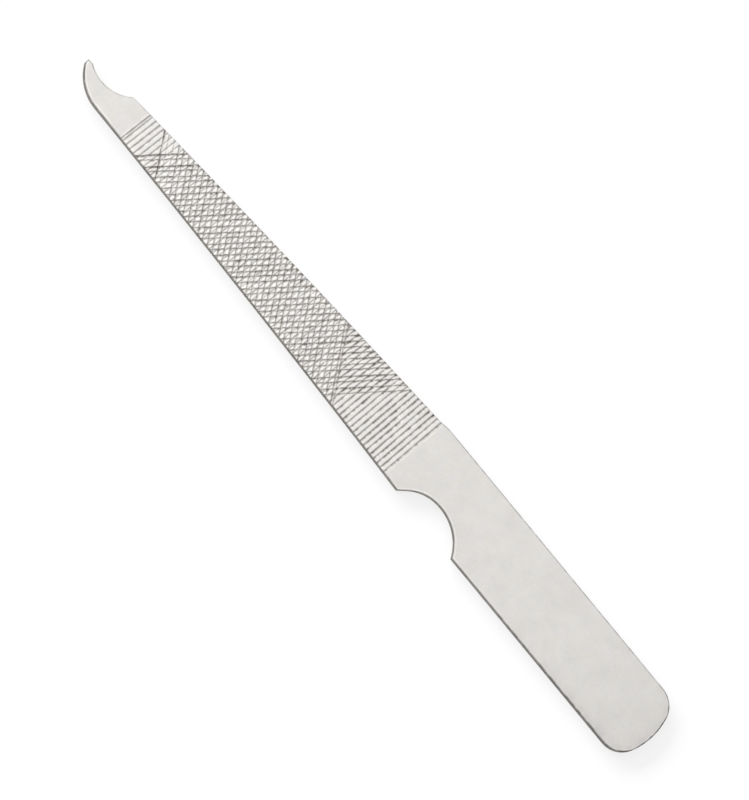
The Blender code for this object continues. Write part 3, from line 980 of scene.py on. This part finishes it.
def steel_tone():
    """Mottling, grain, specks and edge lines, as a colour, a roughness and a height in metres.

    Clouds of noise of about 2.5 and 0.4 mm mottle the colour and the roughness, and another turns the
    colour a little warmer and cooler. Most cells of a 2.5 mm grid hold a faint speck near their middle.
    The edge mark darkens the colour with painted shade, and the rim mark brightens it with a painted
    highlight, both in dashes. A fine grain stands up by its height.
    """
    tree, given, made = group(
        "steel_tone",
        (
            ("Colour", "Color"),
            ("Roughness", "Float"),
            ("Mottle", "Float"),
            ("Grain Height", "Float"),
            ("Edge Shade", "Float"),
            ("Rim Shine", "Float"),
        ),
        (("Colour", "Color"), ("Roughness", "Float"), ("Height", "Float")),
    )
    place = object_place(tree, (-1500, -400))
    cloud = texture(tree, "ShaderNodeTexNoise", (-1200, 300), place, CLOUD_SCALE, Detail=3.0, Roughness=0.6)
    dapple = texture(tree, "ShaderNodeTexNoise", (-1200, 50), place, DAPPLE_SCALE, Detail=2.0)
    warmth = texture(tree, "ShaderNodeTexNoise", (-1200, -200), place, WARMTH_SCALE, Detail=2.0)
    cells = texture(tree, "ShaderNodeTexVoronoi", (-1200, -450), place, SPECK_SCALE)
    dashes = texture(tree, "ShaderNodeTexNoise", (-1200, -700), place, DASH_SCALE, Detail=3.0)
    grain = texture(tree, "ShaderNodeTexNoise", (-1200, -950), place, GRAIN_SCALE, Detail=2.0)

    clouded = cloud.outputs["Fac"]
    both = calculate(tree, "MULTIPLY_ADD", (-950, 200), dapple.outputs["Fac"], DAPPLE_WEIGHT, clouded)
    swing = calculate(tree, "SUBTRACT", (-800, 200), both, MOTTLE_MIDDLE)
    bright = calculate(tree, "MULTIPLY_ADD", (-650, 200), swing, given.outputs["Mottle"], 1.0)
    distance = cells.outputs["Distance"]
    speck = eased_between(tree, (-950, -400), distance, SPECK_CORE, SPECK_END, SPECK_TONE, 1.0)
    kept = calculate(tree, "GREATER_THAN", (-950, -550), cells.outputs["Color"], SPECK_LEVEL)
    spotted = calculate(tree, "MAXIMUM", (-750, -450), speck, kept)
    broken = eased_between(tree, (-950, -700), dashes.outputs["Fac"], *DASH_LEVELS, *DASH_STRENGTHS)
    lined = calculate(tree, "MULTIPLY", (-750, -650), mark(tree, "edge", (-950, -900)), broken)
    shade = calculate(tree, "MULTIPLY", (-550, -600), lined, given.outputs["Edge Shade"])
    clear = calculate(tree, "SUBTRACT", (-400, -600), 1.0, shade)
    dabs = calculate(tree, "MULTIPLY", (-750, -800), mark(tree, "rim", (-950, -1050)), broken)
    shine = calculate(tree, "MULTIPLY_ADD", (-550, -800), dabs, given.outputs["Rim Shine"], 1.0)
    tone = bright
    for step, factor in enumerate((spotted, clear, shine)):
        tone = calculate(tree, "MULTIPLY", (-250 + 150 * step, 0), tone, factor)
    turned = eased_between(tree, (-950, -150), warmth.outputs["Fac"], *TINT_LEVELS)
    tint = blend(tree, (-650, 0), turned, WARM, COOL)
    tinted = blend(tree, (-400, 250), 1.0, given.outputs["Colour"], tint, "MULTIPLY")
    toned = add(tree, "ShaderNodeVectorMath", (500, 150), operation="SCALE")
    rough = calculate(tree, "DIVIDE", (500, -50), given.outputs["Roughness"], bright)
    height = calculate(tree, "MULTIPLY", (500, -250), grain.outputs["Fac"], given.outputs["Grain Height"])
    join(
        tree,
        (tinted, toned.inputs[0]),
        (tone, toned.inputs["Scale"]),
        (toned.outputs[0], made.inputs["Colour"]),
        (rough, made.inputs["Roughness"]),
        (height, made.inputs["Height"]),
    )
    return tree


def steel(name, tone, **values):
    """A steel whose colour, roughness and grain come from the shared tone, and the tone's node in it."""
    material = bpy.data.materials.new(name)
    material.use_nodes = True
    tree = material.node_tree
    shader = tree.nodes["Principled BSDF"]
    shader.inputs["Metallic"].default_value = 1.0
    toned = add(tree, "ShaderNodeGroup", (-500, 100), node_tree=tone)
    for label, value in values.items():
        toned.inputs[label.replace("_", " ").title()].default_value = value
    bump = add(tree, "ShaderNodeBump", (-250, -150), Distance=1.0)
    join(
        tree,
        (toned.outputs["Colour"], shader.inputs["Base Color"]),
        (toned.outputs["Roughness"], shader.inputs["Roughness"]),
        (toned.outputs["Height"], bump.inputs["Height"]),
        (bump.outputs["Normal"], shader.inputs["Normal"]),
    )
    return material, toned


def satin_steel(finish, tone):
    """The plain faces: even satin steel with faint mottling, and painted shade that darkens it a little
    toward the crown.
    """
    material, toned = steel(
        "satin_steel",
        tone,
        roughness=finish.satin_roughness,
        mottle=0.17,
        grain_height=2e-6,
        edge_shade=finish.edge_shade,
        rim_shine=finish.rim_shine,
    )
    tree = material.node_tree
    parts = add(tree, "ShaderNodeSeparateXYZ", (-1200, 100))
    tree.links.new(object_place(tree, (-1400, 100)), parts.inputs[0])
    # Painted shade darkens the steel toward the crown
    unshaded = eased_between(tree, (-1000, 100), parts.outputs["X"], LOW.x, LOW.x + CROWN_SHADE_LENGTH)
    darker_tone = [part * (1 - finish.crown_shade) for part in finish.satin_colour]
    tree.links.new(blend(tree, (-750, 100), unshaded, darker_tone, finish.satin_colour), toned.inputs["Colour"])
    return material


def cut_steel(finish, tone):
    """The cut blade: teeth with fine streaks and a painted highlight on their lands, and painted shade that
    darkens the grooves to their feet.
    """
    material, toned = steel(
        "cut_steel",
        tone,
        roughness=finish.cut_roughness,
        mottle=0.14,
        grain_height=4e-6,
        edge_shade=finish.edge_shade * finish.cut_edge,
        rim_shine=finish.rim_shine,
    )
    tree = material.node_tree
    # Painted highlight brightens the lands
    land = mark(tree, "land", (-1400, 250))
    teeth = blend(tree, (-1200, 250), land, finish.satin_colour, finish.land_highlight_colour)
    fine = streaks(tree, (-1400, 0), TOOTH_STREAKS, 2.0)
    darker_tone = [1 - 2 * finish.streak] * 3
    streaked = blend(tree, (-1200, 0), fine, darker_tone, (1.0, 1.0, 1.0))
    teeth = blend(tree, (-1000, 150), 1.0, teeth, streaked, "MULTIPLY")
    # Painted shade darkens the grooves to their feet
    shaded = blend(tree, (-750, 150), mark(tree, "foot", (-1200, -200)), teeth, finish.groove_shade_colour)
    tree.links.new(shaded, toned.inputs["Colour"])
    return material


def shaded_sheared_steel(finish, tone):
    """The stamped edge: rough, darkened by painted shade, and streaked upright in paler and darker, as the
    punch leaves it.
    """
    material, toned = steel(
        "shaded_sheared_steel",
        tone,
        roughness=finish.shear_roughness,
        mottle=0.6,
        grain_height=6e-6,
        edge_shade=finish.edge_shade * finish.wall_edge,
    )
    tree = material.node_tree
    upright = streaks(tree, (-1000, 0), WALL_STREAKS, 3.0)
    # The wall's dark colour is painted shade
    darker_tone = [(1 - finish.wall_swing) * part for part in finish.shaded_shear_colour]
    pale = [(1 + finish.wall_swing) * part for part in finish.shaded_shear_colour]
    tree.links.new(blend(tree, (-750, 100), upright, darker_tone, pale), toned.inputs["Colour"])
    return material


class OBJECT_OT_nail_file_body(bpy.types.Operator):
    """Make the file's body, from its crowned handle to its hook, with all three cuts"""

    bl_idname = "object.nail_file_body"
    bl_label = "Make the File Body"
    bl_options = {"REGISTER", "UNDO"}

    def execute(self, context):
        scene = context.scene
        mesh = file_body_mesh(scene.nail_file_blank, scene.nail_file_cuts, scene.nail_file_finish)
        tone = steel_tone()
        for finish in (satin_steel, cut_steel, shaded_sheared_steel):
            mesh.materials.append(finish(scene.nail_file_finish, tone))
        body = bpy.data.objects.new("nail_file_body", mesh)
        scene.collection.objects.link(body)
        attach(body, "root")
        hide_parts("file_body")
        return {"FINISHED"}


def floor_material(stage):
    """A floor that keeps its shadows. Where it is seen or mirrored, an even light makes it white."""
    material = bpy.data.materials.new("pale_floor")
    material.use_nodes = True
    tree = material.node_tree
    tree.nodes.clear()
    white = add(tree, "ShaderNodeBsdfDiffuse", (-200, 150))
    white.inputs["Color"].default_value = (*[stage.floor_albedo] * 3, 1)
    glow = add(tree, "ShaderNodeEmission", (-200, -50))
    both = add(tree, "ShaderNodeAddShader", (50, 100))
    out = add(tree, "ShaderNodeOutputMaterial", (250, 100))
    lift = calculate(tree, "MULTIPLY", (-400, -100), seen_or_mirrored(tree), stage.floor_lift)
    join(
        tree,
        (lift, glow.inputs["Strength"]),
        (white.outputs[0], both.inputs[0]),
        (glow.outputs[0], both.inputs[1]),
        (both.outputs[0], out.inputs["Surface"]),
    )
    return material


def seen_or_mirrored(tree):
    """1 for rays from the camera, a mirror or clear glass, else 0."""
    path = add(tree, "ShaderNodeLightPath", (-900, -200)).outputs
    seen = calculate(tree, "MAXIMUM", (-700, -150), path["Is Camera Ray"], path["Is Transmission Ray"])
    return calculate(tree, "MAXIMUM", (-550, -200), seen, path["Is Glossy Ray"])


def sky(stage):
    """A plain studio sky: dimmer at the horizon, and brighter toward the hook and the back."""
    world = bpy.data.worlds.new("studio_sky")
    world.use_nodes = True
    tree = world.node_tree
    light = tree.nodes["Background"]
    light.inputs["Color"].default_value = (1, 1, 1, 1)
    parts = add(tree, "ShaderNodeSeparateXYZ", (-900, 200))
    tree.links.new(add(tree, "ShaderNodeTexCoord", (-1100, 200)).outputs["Generated"], parts.inputs[0])
    x, y, z = parts.outputs
    rise = eased_between(tree, (-700, 200), z, 0.0, 1.0, stage.horizon_light, stage.zenith_light)
    hookward = eased_between(tree, (-700, -50), x, *HOOK_SKY, 1 - stage.hook_light, 1 + stage.hook_light)
    backward = calculate(tree, "MULTIPLY_ADD", (-500, -50), y, -stage.back_light, hookward)
    tree.links.new(calculate(tree, "MULTIPLY", (-300, 100), rise, backward), light.inputs["Strength"])
    return world


def lay_floor(stage, scene):
    """A flat square just below the file, facing up."""
    half = stage.floor_size / 2
    plan = (-half, -half), (half, -half), (half, half), (-half, half)
    mesh = bpy.data.meshes.new("floor")
    mesh.from_pydata([(x, y, -FLOOR_GAP) for x, y in plan], [], [(0, 1, 2, 3)])
    mesh.materials.append(floor_material(stage))
    floor = bpy.data.objects.new("floor", mesh)
    scene.collection.objects.link(floor)


def hang_window(stage, scene):
    """A low, wide side light, which casts the file's soft shadow and isn't mirrored in the steel.

    For a turn t and a rise r it stands off along (cos t cos r, sin t cos r, sin r), and faces the file.
    """
    light = bpy.data.lights.new("window", "AREA")
    light.shape = "RECTANGLE"
    light.size = stage.window_width
    light.size_y = stage.window_height
    light.energy = stage.window_power
    window = bpy.data.objects.new("window", light)
    turn, rise = stage.window_turn, stage.window_rise
    way = Vector((math.cos(turn) * math.cos(rise), math.sin(turn) * math.cos(rise), math.sin(rise)))
    window.location = way * stage.window_distance
    window.rotation_euler = way.to_track_quat("Z", "Y").to_euler()
    window.visible_glossy = False
    window.visible_camera = False
    scene.collection.objects.link(window)


def aim_camera(stage, scene):
    """The camera looks along -w, with w = (sin l, cos l sin t, cos l cos t) for a lean l and a tilt t.

    Its right and up are v = (cos l, -sin l sin t, -sin l cos t) and w x v, turned by the roll.
    """
    tilt, lean, roll = stage.camera_tilt, stage.camera_lean, stage.camera_roll
    upright = Vector((0, math.sin(tilt), math.cos(tilt)))
    hookward = Vector((1, 0, 0))
    back = upright * math.cos(lean) + hookward * math.sin(lean)
    along = hookward * math.cos(lean) - upright * math.sin(lean)
    beyond = back.cross(along)
    right = along * math.cos(roll) + beyond * math.sin(roll)
    up = beyond * math.cos(roll) - along * math.sin(roll)
    centre = Vector((0, 0, HIGH.z / 2)) + right * stage.shift_right - up * stage.shift_down
    data = bpy.data.cameras.new("camera")
    data.lens = data.sensor_width * stage.camera_distance / stage.frame_height
    data.clip_start = 0.01
    data.clip_end = 100
    camera = bpy.data.objects.new("camera", data)
    turned = Matrix((right, up, back)).transposed().to_4x4()
    camera.matrix_world = Matrix.Translation(centre + back * stage.camera_distance) @ turned
    scene.collection.objects.link(camera)
    scene.camera = camera


class SCENE_OT_nail_file_stage(bpy.types.Operator):
    """Lay a pale floor under the file, light it softly and aim the camera"""

    bl_idname = "scene.nail_file_stage"
    bl_label = "Set the Stage"
    bl_options = {"REGISTER", "UNDO"}

    def execute(self, context):
        scene = context.scene
        stage = scene.nail_file_stage
        lay_floor(stage, scene)
        scene.world = sky(stage)
        hang_window(stage, scene)
        aim_camera(stage, scene)
        scene.view_settings.view_transform = "Standard"
        return {"FINISHED"}


class VIEW3D_PT_nail_file(bpy.types.Panel):
    """The nail file's sizes, finish and stage"""

    bl_label = "Nail File"
    bl_space_type = "VIEW_3D"
    bl_region_type = "UI"
    bl_category = "Nail File"

    def draw(self, context):
        for heading, owner in SETTINGS:
            box = self.layout.box()
            box.label(text=heading)
            settings = getattr(context.scene, owner)
            for name in type(settings).__annotations__:
                box.prop(settings, name)
        for operator in OPERATORS:
            self.layout.operator(operator.bl_idname)


SETTINGS = (
    ("Blank", "nail_file_blank"),
    ("Cuts", "nail_file_cuts"),
    ("Finish", "nail_file_finish"),
    ("Stage", "nail_file_stage"),
)
GROUPS = (BlankSizes, CutSizes, SteelFinish, StageSizes)
OPERATORS = (OBJECT_OT_nail_file_body, SCENE_OT_nail_file_stage)


def register():
    """Register the classes, and hang the settings on the scene."""
    for kind in (*GROUPS, *OPERATORS, VIEW3D_PT_nail_file):
        bpy.utils.register_class(kind)
    for (_, owner), kind in zip(SETTINGS, GROUPS):
        setattr(bpy.types.Scene, owner, PointerProperty(type=kind))


def unregister():
    """Undo what register did, in the opposite order."""
    for _, owner in SETTINGS:
        delattr(bpy.types.Scene, owner)
    for kind in (VIEW3D_PT_nail_file, *reversed(OPERATORS), *reversed(GROUPS)):
        bpy.utils.unregister_class(kind)


def main():
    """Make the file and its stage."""
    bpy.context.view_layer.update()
    register()
    bpy.ops.object.nail_file_body()
    bpy.ops.scene.nail_file_stage()


if __name__ == "__main__":
    main()
